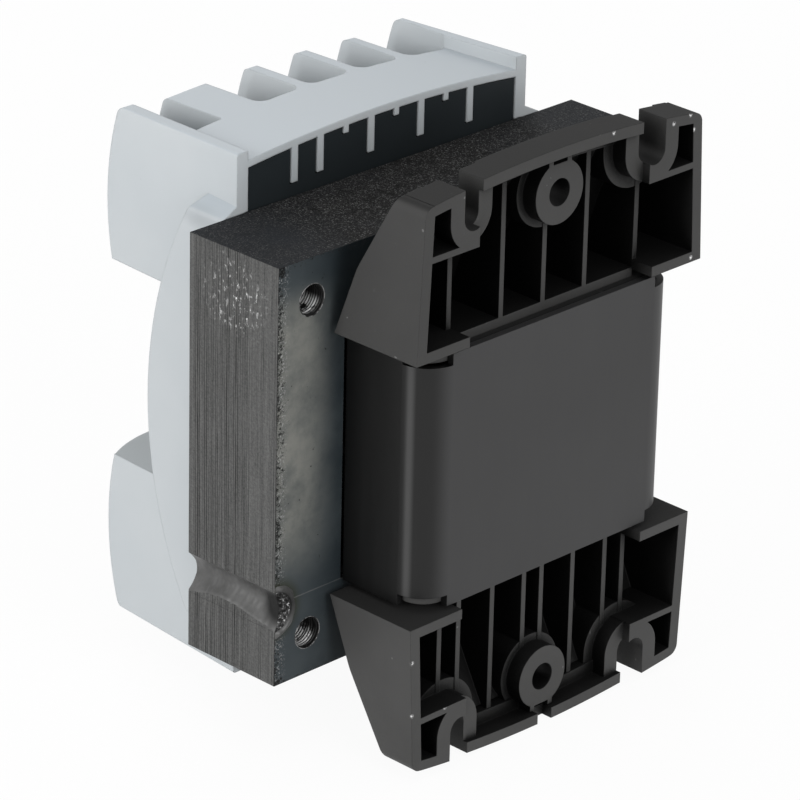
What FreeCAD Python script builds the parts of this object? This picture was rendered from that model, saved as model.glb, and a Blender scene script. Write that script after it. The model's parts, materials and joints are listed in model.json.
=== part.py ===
"""Small control transformer on two moulded feet, with a terminal housing in front.

Frame: millimetres, +Z up, -Y to the front (terminals), +Y to the panel.
The origin is the centre of the mounting plane, which the backs of both feet share.
"""
import FreeCAD
import Part
import math
import os

V = FreeCAD.Vector

# Laminations of the core: an E sheet and an I sheet, stacked along Y
outer_leg = 14.0
centre_leg = 28.0
window_width = 14.0
window_height = 42.0
yoke = 14.0
stack_depth = 19.5
corner_hole_dia = 5.2

# Weld seams that join E and I at both sides of the core
weld_notch_radius = 3.35
weld_hollow = 1.8
weld_drop = 1.3
weld_crown = 0.35

# Distance from the panel to the back of the core, and general clearances
standoff = 18.9
running_gap = 0.3
slip_fit = 0.15

# Bobbin and windings
bobbin_wall = 1.3
flange_thickness = 1.2
flange_reach = 15.0
flange_corner = 4.0
winding_margin = 0.5
winding_reach = 12.2
winding_corner = 8.0

# Rear coil cover
cover_half_width = 27.8
cover_thickness = 1.2
cover_setback = 1.2
cover_corner = 5.5
cover_overlap = 0.2
cover_flat_half_width = 22.4
cover_end_step = 1.9

# Mounting feet, given for the upper one; the lower one is its mirror image
foot_gap = 1.0
foot_height = 25.1
foot_half_width_inner = 31.5
foot_half_width_outer = 30.3
foot_corner = 1.8
foot_tip_depth = 6.2
foot_knee_depth = 13.6
foot_knee_height = 11.6
foot_core_gap = 1.3
foot_side_wall = 2.0
foot_front_wall = 2.2
foot_end_wall = 1.7
foot_base_wall = 1.7
lip_half_opening = 20.2
base_step_thickness = 1.55
rib_thickness = 0.95
rib_setback = 4.2
upper_rib_x = [9.25, 20.65]
lower_rib_x = [2.0, 9.15, 16.6, 20.8]

# Open slots and their bosses
slot_x = 19.83
slot_from_end = 4.0
slot_width = 4.45
slot_boss_radius = 5.15
slot_step_x = 18.7
slot_step_depth = 1.5
slot_shoulder_radius = 7.1
slot_well_radius = 5.7
web_thickness = 1.05

# Centre screw boss
ring_from_end = 5.85
ring_hole_dia = 4.5
ring_radius = 5.2
ring_flat_from_end = 1.1
ring_setback = 1.45
ring_shoulder_radius = 6.4
ring_well_radius = 5.0
ring_web_x = 2.0
shoulder_depth = 4.3
well_floor = 1.5

# Arched flange between the slots
arch_half_width = 17.8
arch_rise = 0.7
arch_thickness = 1.85
arch_setback = 0.6
arch_depth = 5.6
arch_notch_width = 3.1

# Terminal housing: barrel over the coil and two blocks of terminals
housing_half_width = 35.0
shoulder_rise = 1.4
shoulder_x = 34.2
shoulder_drop = 1.3
housing_depth = 16.9
housing_front_radius = 70.0
housing_wall = 1.5
block_centre_x = 0.3
block_half_width = 31.7
block_depth = 31.4
block_front_radius = 47.0
block_front_drop = 7.0
block_draft_deg = 3.0
block_side_wall = 2.3
block_front_wall = 2.0
block_top_draft_deg = 1.4
block_top_round = 0.5
block_top_fall = 0.6
block_nose_round = 1.8
upper_block_overlap = 3.1
upper_block_rise = 10.4
lower_block_overlap = 5.0
lower_block_rise = 9.4
roof_drop = 0.5
roof_radius = 270.0
roof_thickness = 1.2
roof_rib_thickness = 1.3
roof_rib_length = 5.9
roof_rib_depth = 3.2
roof_nub_length = 1.2
fin_setback = 0.7
fin_round = 1.3
far_wall_setback = 1.2

# Bowed front panel below the wire funnels
panel_flat_half = 19.5
panel_flat_far = 17.6
panel_end_radius = 22.0
panel_sill_drop = 2.0
panel_bulge = 2.69

# Terminal row
terminal_pitch = 11.0
first_rib_x = 14.3
earth_rib_offset = 5.5
earth_terminal_x = 24.7
scoop_half_width = 4.45
earth_scoop_half_width = 3.3
scoop_corner = 2.0
earth_scoop_corner = 0.6
scoop_back_depth = 14.7
scoop_floor_thickness = 1.8
wire_hole_width = 5.4
wire_hole_depth = 5.2
driver_hole_radius = 3.2
clamp_setback = 15.85
clamp_width = 6.6
clamp_depth = 9.6
clamp_height = 9.0
clamp_wall = 1.0
clamp_front_wall = 2.4
screw_head_radius = 2.7
screw_head_height = 1.8
screw_shank_radius = 1.5
screw_reach = 2.8
bar_width = 3.6
bar_thickness = 1.0
tag_height = 8.0

# Terminal carriers between the bobbin and the housing
carrier_setback = 0.2
carrier_plate = 2.0
carrier_shelf = 1.5
carrier_clearance = 0.2

# Places that follow from the sizes above
core_half_width = centre_leg / 2 + window_width + outer_leg
half_window = window_height / 2
core_half_height = half_window + yoke
core_back = -standoff
core_front = core_back - stack_depth
core_mid = core_back - stack_depth / 2
hole_x = core_half_width - outer_leg / 2
hole_z = core_half_height - yoke / 2
weld_z = -half_window - weld_drop
bobbin_half_height = half_window - slip_fit
cover_half_height = half_window + cover_overlap
foot_inner_z = half_window + foot_gap
foot_outer_z = foot_inner_z + foot_height
foot_knee_z = foot_inner_z + foot_knee_height
base_step_z = bobbin_half_height + base_step_thickness
slot_z = foot_outer_z - slot_from_end
ring_z = foot_outer_z - ring_from_end
ring_flat_z = foot_outer_z - ring_flat_from_end
arch_inner_end_z = foot_outer_z - arch_rise
arch_inner_mid_z = foot_outer_z
flange_half_width = cover_half_width - cover_thickness - slip_fit
flange_back = -cover_setback - cover_thickness - slip_fit
flange_front = core_front - flange_reach
winding_half_width = flange_half_width - winding_margin
housing_back = core_front - running_gap
barrel_front = housing_back - housing_depth
block_front = housing_back - block_depth
housing_half_height = core_half_height + shoulder_rise
block_front_z = core_half_height - block_front_drop
panel_sill_z = core_half_height - panel_sill_drop
clamp_middle_y = housing_back - clamp_setback - clamp_depth / 2
clamp_middle_z = panel_sill_z - scoop_floor_thickness - slip_fit - clamp_height / 2
row_heights = {
    "upper": (half_window - upper_block_overlap, core_half_height + upper_block_rise),
    "lower": (half_window - lower_block_overlap, core_half_height + lower_block_rise),
}
terminal_x = [earth_terminal_x] + [
    first_rib_x - terminal_pitch * (step + 0.5) for step in range(4)
]
rib_x = [first_rib_x + earth_rib_offset] + [
    first_rib_x - terminal_pitch * step for step in range(4)
]


def box(low, high):
    """Box between two opposite corners."""
    size = [high[i] - low[i] for i in range(3)]
    return Part.makeBox(size[0], size[1], size[2], V(*low))


def cylinder(radius, start, direction, length):
    return Part.makeCylinder(radius, length, start, direction)


def place(axis, along, u, v):
    """Point with the coordinate `along` on one axis and (u, v) on the two others, in X, Y, Z order."""
    if axis == "x":
        return V(along, u, v)
    if axis == "y":
        return V(u, along, v)
    return V(u, v, along)


def rounded_outline(corners, axis, along):
    """Closed wire through (u, v, radius) corners, each rounded by a tangent arc."""
    starts = []
    ends = []
    middles = []
    count = len(corners)
    for i, (u, v, radius) in enumerate(corners):
        here = V(u, v, 0)
        before = V(corners[i - 1][0], corners[i - 1][1], 0) - here
        after_corner = corners[(i + 1) % count]
        after = V(after_corner[0], after_corner[1], 0) - here
        before.normalize()
        after.normalize()
        half_angle = before.getAngle(after) / 2
        if radius <= 0:
            starts.append(here)
            ends.append(here)
            middles.append(None)
            continue
        trim = radius / math.tan(half_angle)
        inward = before + after
        inward.normalize()
        centre = here + inward * (radius / math.sin(half_angle))
        starts.append(here + before * trim)
        ends.append(here + after * trim)
        middles.append(centre - inward * radius)
    edges = []
    for i in range(count):
        if middles[i] is not None:
            arc = [place(axis, along, p.x, p.y) for p in (starts[i], middles[i], ends[i])]
            edges.append(Part.Arc(*arc).toShape())
        start = ends[i]
        end = starts[(i + 1) % count]
        if start.distanceToPoint(end) > 1e-6:
            line = [place(axis, along, p.x, p.y) for p in (start, end)]
            edges.append(Part.LineSegment(*line).toShape())
    return Part.Wire(edges)


def prism(corners, axis, start, end):
    """Solid with a rounded outline, from `start` to `end` along an axis."""
    corners = [corner if len(corner) == 3 else (corner[0], corner[1], 0) for corner in corners]
    face = Part.Face(rounded_outline(corners, axis, start))
    return face.extrude(place(axis, end - start, 0, 0))


def rectangle(u0, u1, v0, v1, radius=0):
    return [(u0, v0, radius), (u1, v0, radius), (u1, v1, radius), (u0, v1, radius)]


def ring_prism(outer, inner, axis, start, end):
    return prism(outer, axis, start, end).cut(prism(inner, axis, start - 1, end + 1))


def mirror_z(shape):
    return shape.mirror(V(0, 0, 0), V(0, 0, 1))


def join(shapes):
    return shapes[0].multiFuse(shapes[1:]).removeSplitter()


def e_laminations():
    """E sheets: yoke on top, three legs down, with a hole in each upper corner."""
    stack = box((-core_half_width, core_front, -half_window), (core_half_width, core_back, core_half_height))
    for side in (-1, 1):
        near = side * centre_leg / 2
        far = side * (centre_leg / 2 + window_width)
        low = min(near, far)
        high = max(near, far)
        stack = stack.cut(box((low, core_front - 1, -half_window - 1), (high, core_back + 1, half_window)))
        stack = stack.cut(corner_hole(side * hole_x, hole_z))
        stack = stack.cut(weld_groove(side))
    return stack


def i_laminations():
    """I sheets: the lower yoke, with the two lower corner holes."""
    bar = box((-core_half_width, core_front, -core_half_height), (core_half_width, core_back, -half_window))
    for side in (-1, 1):
        bar = bar.cut(corner_hole(side * hole_x, -hole_z))
        bar = bar.cut(weld_groove(side))
    return bar


def corner_hole(x, z):
    return cylinder(corner_hole_dia / 2, V(x, core_front - 1, z), V(0, 1, 0), stack_depth + 2)


def weld_groove(side):
    start = V(side * core_half_width, core_front - 1, weld_z)
    return cylinder(weld_notch_radius, start, V(0, 1, 0), stack_depth + 2)


def weld_seam(side):
    """Weld metal in the half-round groove, hollow outside and standing a little proud at the back."""
    length = stack_depth + weld_crown
    metal = cylinder(weld_notch_radius, V(side * core_half_width, core_front, weld_z), V(0, 1, 0), length)
    hollow_radius = (weld_notch_radius ** 2 + weld_hollow ** 2) / (2 * weld_hollow)
    hollow_x = side * (core_half_width - weld_hollow + hollow_radius)
    metal = metal.cut(cylinder(hollow_radius, V(hollow_x, core_front - 1, weld_z), V(0, 1, 0), length + 2))
    reach = weld_notch_radius + 1
    inside = box((-core_half_width, core_front - 1, weld_z - reach), (core_half_width, 0, weld_z + reach))
    return metal.common(inside)


def bobbin():
    """Tube round the centre leg with three flanges, which keep the two windings apart."""
    inner_x = centre_leg / 2 + slip_fit
    inner_y = stack_depth / 2 + slip_fit
    outer_x = inner_x + bobbin_wall
    outer_y = inner_y + bobbin_wall
    outer = rectangle(-outer_x, outer_x, core_mid - outer_y, core_mid + outer_y)
    plate = rectangle(-flange_half_width, flange_half_width, flange_front, flange_back, flange_corner)
    shapes = [prism(outer, "z", -bobbin_half_height, bobbin_half_height)]
    for base in (-bobbin_half_height, -flange_thickness / 2, bobbin_half_height - flange_thickness):
        shapes.append(prism(plate, "z", base, base + flange_thickness))
    body = join(shapes)
    tunnel = rectangle(-inner_x, inner_x, core_mid - inner_y, core_mid + inner_y)
    return body.cut(prism(tunnel, "z", -foot_outer_z, foot_outer_z))


def winding(side):
    """Copper in the chamber above (1) or below (-1) the middle flange."""
    tube_x = centre_leg / 2 + slip_fit + bobbin_wall
    tube_y = stack_depth / 2 + slip_fit + bobbin_wall
    outer_y = stack_depth / 2 + winding_reach
    low_y = core_mid - outer_y
    high_y = core_mid + outer_y
    outer = rectangle(-winding_half_width, winding_half_width, low_y, high_y, winding_corner)
    inner = rectangle(-tube_x, tube_x, core_mid - tube_y, core_mid + tube_y)
    low, high = sorted((side * flange_thickness / 2, side * (bobbin_half_height - flange_thickness)))
    return ring_prism(outer, inner, "z", low, high)


def cover_outline(inset, front_shift):
    """Plan of the rear cover, moved inwards by `inset`, from the core's back to its rounded corners."""
    half = cover_half_width - inset
    back = -cover_setback - inset
    front = core_back + running_gap + front_shift
    corner = cover_corner - inset
    return [(-half, front, 0), (half, front, 0), (half, back, corner), (-half, back, corner)]


def corner_zone():
    """The two upright corners of the cover, where its ends are cut lower."""
    start = -cover_setback - cover_corner
    reach = cover_half_width + 1
    inner = cover_flat_half_width
    zone = box((-reach, start, -foot_outer_z), (reach, 0, foot_outer_z))
    return zone.cut(box((-inner, start - 1, -foot_outer_z - 1), (inner, 1, foot_outer_z + 1)))


def coil_cover():
    """U-shaped shield round the back of the coil, a little lower at its rounded corners."""
    shell = prism(cover_outline(0, 0), "z", -cover_half_height, cover_half_height)
    hollow = prism(cover_outline(cover_thickness, -1), "z", -foot_outer_z, foot_outer_z)
    shell = shell.cut(hollow)
    low = cover_half_height - cover_end_step
    ends = corner_zone().cut(box((-foot_outer_z, core_front, -low), (foot_outer_z, 1, low)))
    return shell.cut(ends)


def foot_profile(shift=0.0):
    """Side view (Y, Z) of the upper foot: deep at the coil, thin at its tip."""
    front_low = core_back + foot_core_gap
    return [
        (shift, foot_inner_z, 0),
        (shift, foot_outer_z, 0),
        (shift - foot_tip_depth, foot_outer_z, 0.5),
        (shift - foot_knee_depth, foot_knee_z, 12.0),
        (shift + front_low, foot_inner_z, 0),
    ]


def foot_plan(inset, corner):
    """Back view (X, Z) of the foot's drafted sides, moved inwards by `inset`."""
    wide = foot_half_width_inner - inset
    narrow = foot_half_width_outer - inset
    return [
        (-wide, foot_inner_z, 0),
        (wide, foot_inner_z, 0),
        (narrow, foot_outer_z, corner),
        (-narrow, foot_outer_z, corner),
    ]


def open_slot(x, radius, start, end):
    """Round-ended upright slot that runs out past the end of the foot."""
    top = foot_outer_z + arch_thickness + 2
    round_end = cylinder(radius, V(x, start, slot_z), V(0, 1, 0), end - start)
    return round_end.fuse(box((x - radius, start, slot_z), (x + radius, end, top)))


def both_sides(places):
    return places + [-x for x in places]


def end_bow(inset):
    """Everything below the bow that ends the foot, or below the same bow further in by `inset`."""
    radius = (arch_half_width ** 2 + arch_rise ** 2) / (2 * arch_rise)
    deep = -foot_knee_depth * 3
    centre = V(0, deep, arch_inner_mid_z + arch_thickness - radius)
    return cylinder(radius - inset, centre, V(0, 1, 0), foot_front_wall - deep)


def end_caps():
    """Ends of the foot beside its slots, which follow the bow of the flange between them."""
    reach = foot_half_width_outer - foot_corner
    low = foot_outer_z - foot_end_wall / 2
    high = arch_inner_mid_z + arch_thickness + 1
    zone = box((-reach, -foot_tip_depth, low), (reach, 0, high))
    between = box((-slot_x, -foot_knee_depth, low - 1), (slot_x, 1, high + 1))
    return end_bow(0).common(zone.cut(between))


def foot_space(start):
    """Everything between the foot's outer front surface and the depth `start`, inside its walls."""
    deep = -foot_knee_depth * 3
    outer = prism(foot_profile(), "x", -foot_half_width_inner, foot_half_width_inner)
    inside = prism(foot_plan(foot_side_wall / 2, 0), "y", deep, start)
    return outer.common(inside)


def foot(rib_places, notched):
    """Ribbed foot, open to the panel, with two open slots and a centre screw boss."""
    deep = -foot_knee_depth * 3
    reach = foot_half_width_inner + 1
    body = prism(foot_profile(), "x", -reach, reach)
    body = body.common(prism(foot_plan(0, foot_corner), "y", deep, 0))
    hollow = prism(foot_profile(foot_front_wall), "x", -reach, reach)
    hollow = hollow.common(prism(foot_plan(foot_side_wall, 0), "y", deep, foot_front_wall))
    low = foot_inner_z + foot_base_wall
    high = foot_outer_z - foot_end_wall
    hollow = hollow.common(box((-reach, deep, low), (reach, foot_front_wall, foot_outer_z)))
    hollow = hollow.common(end_bow(foot_end_wall))
    front_low = core_back + foot_core_gap
    step = box((-lip_half_opening, front_low, bobbin_half_height), (lip_half_opening, -rib_setback, low))
    body = body.fuse(step).cut(hollow)
    well = prism(foot_profile(foot_front_wall), "x", -lip_half_opening, lip_half_opening)
    well = well.fuse(box((-lip_half_opening, -rib_setback, 0), (lip_half_opening, 1, low)))
    body = body.cut(well.common(box((-reach, deep, base_step_z), (reach, 1, low + 1))))
    body = body.cut(box((-lip_half_opening, -rib_setback, 0), (lip_half_opening, 1, low)))

    arch_cut = box((-arch_half_width, deep, high - 1), (arch_half_width, 1, foot_outer_z + 1))
    arch_room = box((-reach, -arch_setback - arch_depth, high - 1), (reach, 1, foot_outer_z + 1))
    body = body.cut(arch_cut.common(arch_room))
    arch_front = -arch_setback - arch_depth
    arch = arch_flange(arch_front, -arch_setback, 0)
    end_wall = arch_flange(-foot_tip_depth, -foot_tip_depth + foot_front_wall, foot_end_wall + 0.5)

    extras = [arch, end_wall, end_caps()]
    shoulder = -shoulder_depth
    for side in (-1, 1):
        x = side * slot_x
        big = open_slot(x, slot_shoulder_radius, deep, shoulder)
        extras.append(big.common(foot_space(shoulder)))
        extras.append(slot_boss(side, shoulder))
        web_low = slot_z - slot_boss_radius
        xs = sorted((side * slot_step_x, side * (foot_half_width_outer - foot_side_wall / 2)))
        web = box((xs[0], deep, web_low), (xs[1], 0, web_low + web_thickness))
        extras.append(web.common(foot_space(0)))
    big_ring = cylinder(ring_shoulder_radius, V(0, deep, ring_z), V(0, 1, 0), shoulder - deep)
    extras.append(big_ring.common(foot_space(shoulder)))
    ring_foot = V(0, shoulder - well_floor, ring_z)
    ring = cylinder(ring_radius, ring_foot, V(0, 1, 0), well_floor - shoulder - ring_setback)
    ring_limit = box((-ring_radius, deep, 0), (ring_radius, 0, ring_flat_z))
    extras.append(ring.common(ring_limit))
    for side in (-1, 1):
        x = side * ring_web_x
        half = rib_thickness / 2
        rib_end = (x + half, -ring_setback, arch_inner_end_z + 0.4)
        extras.append(box((x - half, arch_front, ring_flat_z - 1), rib_end))
    for x in rib_places:
        half = rib_thickness / 2
        rib = box((x - half, deep, base_step_z - 0.2), (x + half, -rib_setback, arch_inner_end_z + 0.2))
        extras.append(rib.common(foot_space(-rib_setback)))
    body = join([body] + extras)

    well_end = shoulder - well_floor
    for side in (-1, 1):
        x = side * slot_x
        body = body.cut(open_slot(x, slot_well_radius, deep, well_end))
        body = body.cut(open_slot(x, slot_width / 2, deep, 1))
    body = body.cut(cylinder(ring_well_radius, V(0, deep, ring_z), V(0, 1, 0), well_end - deep))
    body = body.cut(cylinder(ring_hole_dia / 2, V(0, deep, ring_z), V(0, 1, 0), -deep + 1))
    if notched:
        half = arch_notch_width / 2
        body = body.cut(box((-half, -arch_setback - 2, ring_flat_z), (half, 1, foot_outer_z + 3)))
    return body


def arch_flange(start, end, skirt):
    """Flat bar, bowed outwards, between the two open slots; a skirt takes its inner face down."""
    half = arch_half_width
    faces = []
    for offset in (-skirt, arch_thickness):
        faces.append((arch_inner_end_z + offset, arch_inner_mid_z + offset))
    arcs = []
    for end_z, mid_z in faces:
        bow = Part.Arc(V(-half, start, end_z), V(0, start, mid_z), V(half, start, end_z))
        arcs.append(bow.toShape())
    low_arc, high_arc = arcs
    sides = []
    for x in (-half, half):
        sides.append(Part.LineSegment(V(x, start, faces[0][0]), V(x, start, faces[1][0])).toShape())
    wire = Part.Wire(Part.__sortEdges__([low_arc, sides[1], high_arc, sides[0]]))
    return Part.Face(wire).extrude(V(0, end - start, 0))


def slot_boss(side, shoulder):
    """Boss round a slot: flush with the panel outside the step, set back inside it."""
    x = side * slot_x
    boss = open_slot(x, slot_boss_radius, shoulder - well_floor, 0)
    limit = box((-foot_half_width_outer, -foot_knee_depth, 0), (foot_half_width_outer, 0, foot_outer_z))
    boss = boss.common(limit)
    xs = sorted((0, side * slot_step_x))
    return boss.cut(box((xs[0], -slot_step_depth, 0), (xs[1], 1, foot_outer_z + 3)))


def barrel_profile(inset):
    """Side view (Y, Z) of the barrel: flat back, bowed front."""
    half = housing_half_height - inset
    front = barrel_front + inset
    radius = housing_front_radius - inset
    end = front + radius - math.sqrt(radius ** 2 - half ** 2)
    back = housing_back + inset * 2
    arc = Part.Arc(V(0, end, -half), V(0, front, 0), V(0, end, half)).toShape()
    points = [V(0, end, half), V(0, back, half), V(0, back, -half), V(0, end, -half)]
    lines = [Part.LineSegment(points[i], points[i + 1]).toShape() for i in range(3)]
    return Part.Wire([arc] + lines)


def barrel(inset):
    """Barrel over the coil, with sloped shoulders beside the terminal blocks."""
    half = housing_half_width - inset
    high = housing_half_height - inset
    face = Part.Face(barrel_profile(inset))
    body = face.extrude(V(2 * half, 0, 0)).translated(V(-half, 0, 0))
    slope = shoulder_drop / (shoulder_x - block_half_width)
    side_z = high - shoulder_drop - slope * (half - shoulder_x)
    outline = []
    for x, z in ((-1, -1), (1, -1), (1, 1), (-1, 1)):
        inner = (x * (block_half_width - inset), z * high, 0)
        outer = (x * half, z * side_z, 1.0)
        outline += [outer, inner] if x * z > 0 else [inner, outer]
    return body.common(prism(outline, "y", barrel_front - 1, housing_back + 1))


def block_plan(inset):
    """Plan of a terminal block with drafted sides, moved inwards by `inset`, past its front."""
    length = block_depth + 6
    wide = block_half_width - inset
    narrow = wide - math.tan(math.radians(block_draft_deg)) * length
    plan = [(-wide, 0), (wide, 0), (narrow, -length), (-narrow, -length)]
    return [(x + block_centre_x, y + housing_back, 0) for x, y in plan]


def bow_solid(front, radius, low, high, back):
    """Body as wide as the housing whose front is bowed between two heights."""
    def front_at(z):
        return front + radius - math.sqrt(radius ** 2 - (z - block_front_z) ** 2)

    middle = (low + high) / 2
    arc_points = [V(0, front_at(z), z) for z in (low, middle, high)]
    arc = Part.Arc(*arc_points).toShape()
    corners = [V(0, front_at(high), high), V(0, back, high), V(0, back, low), V(0, front_at(low), low)]
    lines = [Part.LineSegment(corners[i], corners[i + 1]).toShape() for i in range(3)]
    reach = housing_half_width + 5
    face = Part.Face(Part.Wire([arc] + lines))
    return face.extrude(V(2 * reach, 0, 0)).translated(V(-reach, 0, 0))


def round_nose(solid, radius, top_z):
    """Round the long edge between the bowed front and the top."""
    found = []
    for edge in solid.Edges:
        bounds = edge.BoundBox
        if bounds.YMax < block_front + block_depth / 4 and bounds.ZMin > top_z - 4:
            if bounds.XLength > bounds.YLength + bounds.ZLength:
                found.append(edge)
    return solid.makeFillet(radius, found)


def top_slab(top_z):
    """Everything above the drafted top of a block."""
    reach = housing_half_width + 9
    lid = box((-reach, block_front - 9, top_z), (reach, housing_back + 9, top_z + 9))
    lid.rotate(V(0, housing_back, top_z), V(1, 0, 0), block_top_draft_deg)
    return lid


def edge_round(side, top_z):
    """Cutter that rounds the long upper edge of one side wall, along its two drafts."""
    radius = block_top_round
    length = block_depth + 9
    cutter = box((0, -length, 0), (radius + 2, 3, radius + 2))
    cutter = cutter.cut(cylinder(radius, V(0, 4, 0), V(0, -1, 0), length + 5))
    cutter.rotate(V(0, 0, 0), V(1, 0, 0), block_top_draft_deg)
    cutter.rotate(V(0, 0, 0), V(0, 0, 1), -block_draft_deg)
    cutter = cutter.translated(V(block_half_width - radius, housing_back, top_z - radius))
    if side < 0:
        cutter = cutter.mirror(V(0, 0, 0), V(1, 0, 0))
    return cutter.translated(V(block_centre_x, 0, 0))


def side_walls(inner_z, top_z):
    """The two side walls of a block; the one beside the lone terminal is a little lower."""
    walls = []
    for side, top, setback in ((-1, top_z, far_wall_setback), (1, top_z - block_top_fall, 0)):
        nose = bow_solid(block_front + setback, block_front_radius, inner_z, top_z + 1, housing_back)
        nose = round_nose(nose.cut(top_slab(top)), block_nose_round, top_z)
        half = prism(block_plan(0), "z", inner_z, top_z + 1)
        half = half.cut(prism(block_plan(block_side_wall), "z", 0, top_z + 9))
        half = half.common(box((min(0, side * 99), -99, 0), (max(0, side * 99), 0, 99)))
        walls.append(half.common(nose).cut(edge_round(side, top)))
    return walls


def roof_solid(inset, inner_z, top_z, low, front_gap):
    """Space between the side walls under the bowed roof, `inset` below its outer face."""
    crown = top_z - roof_drop - inset
    radius = roof_radius - inset
    front = block_front + front_gap
    solid = bow_solid(front, block_front_radius - front_gap, low, top_z + 1, housing_back + inset)
    start = V(block_centre_x, block_front - 9, crown - radius)
    dome = cylinder(radius, start, V(0, 1, 0), block_depth + 20)
    dome.rotate(V(0, housing_back, top_z), V(1, 0, 0), block_top_draft_deg)
    solid = solid.common(dome)
    if front_gap:
        between = box((-block_half_width, block_front, low), (block_half_width, housing_back, top_z))
        solid = round_nose(solid.common(between), fin_round, top_z)
    return solid.common(prism(block_plan(block_side_wall), "z", low, top_z + 1))


def front_panel(low, high):
    """Front panel: bowed in height, flat in the middle and curved back to the side walls in plan."""
    front = block_front - panel_bulge
    radius = panel_end_radius
    turn = math.radians(38)
    z = block_front_z
    back = front + radius * (1 - math.cos(turn)) + 1
    edges = []
    corners = []
    for side, flat in ((-1, panel_flat_far), (1, panel_flat_half)):
        bends = []
        for angle in (0, turn / 2, turn):
            x = side * (flat + radius * math.sin(angle))
            bends.append(V(x, front + radius * (1 - math.cos(angle)), z))
        edges.append(Part.Arc(*bends).toShape())
        corners.append((bends[0], bends[2], V(bends[2].x, back, z)))
    far, near = corners
    for start, end in ((far[0], near[0]), (near[1], near[2]), (near[2], far[2]), (far[2], far[1])):
        edges.append(Part.LineSegment(start, end).toShape())
    face = Part.Face(Part.Wire(Part.__sortEdges__(edges)))
    axis = V(0, front + block_front_radius, z)
    face.rotate(axis, V(1, 0, 0), -12)
    panel = face.revolve(axis, V(1, 0, 0), 34).translated(V(block_centre_x, 0, 0))
    return panel.common(prism(block_plan(0), "z", low, high))


def row_block(inner_z, top_z):
    """One terminal block as a closed body, and the space inside it."""
    middle = roof_solid(0, inner_z, top_z, panel_sill_z, fin_setback)
    base = prism(block_plan(0), "z", inner_z, panel_sill_z)
    base_room = box((-foot_outer_z, block_front + 4, inner_z), (foot_outer_z, housing_back, panel_sill_z))
    base = base.common(base_room)
    body = join(side_walls(inner_z, top_z) + [middle, base, front_panel(inner_z, panel_sill_z)])

    floor = panel_sill_z - scoop_floor_thickness
    low = inner_z + housing_wall
    radius = block_front_radius - block_front_wall
    space = bow_solid(block_front + block_front_wall, radius, low, floor, housing_back + 1)
    rear = roof_solid(roof_thickness, inner_z, top_z, floor - 1, 0)
    rear_front = housing_back - scoop_back_depth + roof_thickness
    rear = rear.common(box((-foot_outer_z, rear_front, 0), (foot_outer_z, housing_back + 1, top_z)))
    space = space.fuse(rear)
    space = space.common(prism(block_plan(block_side_wall), "z", 0, top_z))
    return body, space


def scoop(x, half, corner, top_z):
    """Wire funnel: open above and in front, with a flat back and rounded corners."""
    back = housing_back - scoop_back_depth
    front = block_front - panel_bulge - 1
    plan = [(x - half, front, 0), (x + half, front, 0), (x + half, back, corner), (x - half, back, corner)]
    return prism(plan, "z", panel_sill_z, top_z + 3)


def row_cuts(top_z):
    """Funnels, wire holes and screwdriver holes of one row."""
    cuts = []
    for index, x in enumerate(terminal_x):
        half = earth_scoop_half_width if index == 0 else scoop_half_width
        corner = earth_scoop_corner if index == 0 else scoop_corner
        cuts.append(scoop(x, half, corner, top_z))
        hole = (wire_hole_width / 2, wire_hole_depth / 2)
        low = panel_sill_z - scoop_floor_thickness - 1
        start = (x - hole[0], clamp_middle_y - hole[1], low)
        cuts.append(box(start, (x + hole[0], clamp_middle_y + hole[1], panel_sill_z + 1)))
        front = block_front - panel_bulge - 1
        back = clamp_middle_y - clamp_depth / 2 - screw_head_height
        cuts.append(cylinder(driver_hole_radius, V(x, front, clamp_middle_z), V(0, 1, 0), back - front))
    return cuts


def roof_underside(x, top_z):
    fall = roof_radius - math.sqrt(roof_radius ** 2 - (x - block_centre_x) ** 2)
    return top_z - roof_drop - roof_thickness - fall


def row_ribs(top_z, grow):
    """Ribs and shorter nubs that hang from the roof at the back edge, grown on all sides by `grow`."""
    places = [(x, roof_rib_thickness / 2, roof_rib_length) for x in rib_x]
    places += [(x, roof_rib_thickness / 2.5, roof_nub_length) for x in terminal_x[1:4]]
    shapes = []
    for x, half, length in places:
        under = roof_underside(x, top_z)
        start = (x - half - grow, housing_back - roof_rib_depth - grow, under - length - grow)
        shapes.append(box(start, (x + half + grow, housing_back, under + roof_thickness / 2)))
    return shapes


def terminal_housing():
    """One moulding: a barrel over the coil between two blocks of terminals."""
    bodies = [barrel(0)]
    spaces = [barrel(housing_wall)]
    ribs = []
    cuts = []
    for row, (inner_z, top_z) in row_heights.items():
        body, space = row_block(inner_z, top_z)
        group = ([body], [space], row_ribs(top_z, 0), row_cuts(top_z))
        if row == "lower":
            group = [[mirror_z(shape) for shape in shapes] for shapes in group]
        bodies += group[0]
        spaces += group[1]
        ribs += group[2]
        cuts += group[3]
    body = join(bodies)
    for space in spaces:
        body = body.cut(space)
    body = join([body] + ribs)
    for cut in cuts:
        body = body.cut(cut)
    return body.removeSplitter()


def terminal_carrier(inner_z, top_z):
    """Black carrier of one row: plate behind the terminals and shelf on the bobbin flange."""
    plate_back = housing_back - carrier_setback
    base = bobbin_half_height
    plate = roof_solid(roof_thickness + carrier_clearance, inner_z, top_z, base, 0)
    inside = prism(block_plan(block_side_wall + carrier_clearance), "z", base, top_z)
    plate = plate.common(inside).common(
        box((-foot_outer_z, plate_back - carrier_plate, base), (foot_outer_z, plate_back, top_z))
    )
    shelf_front = housing_back - clamp_setback + slip_fit
    shelf_end = (flange_half_width, plate_back, base + carrier_shelf)
    shelf = box((-flange_half_width, shelf_front, base), shelf_end)
    body = join([plate, shelf])
    for rib in row_ribs(top_z, carrier_clearance):
        body = body.cut(rib)
    return body


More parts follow.
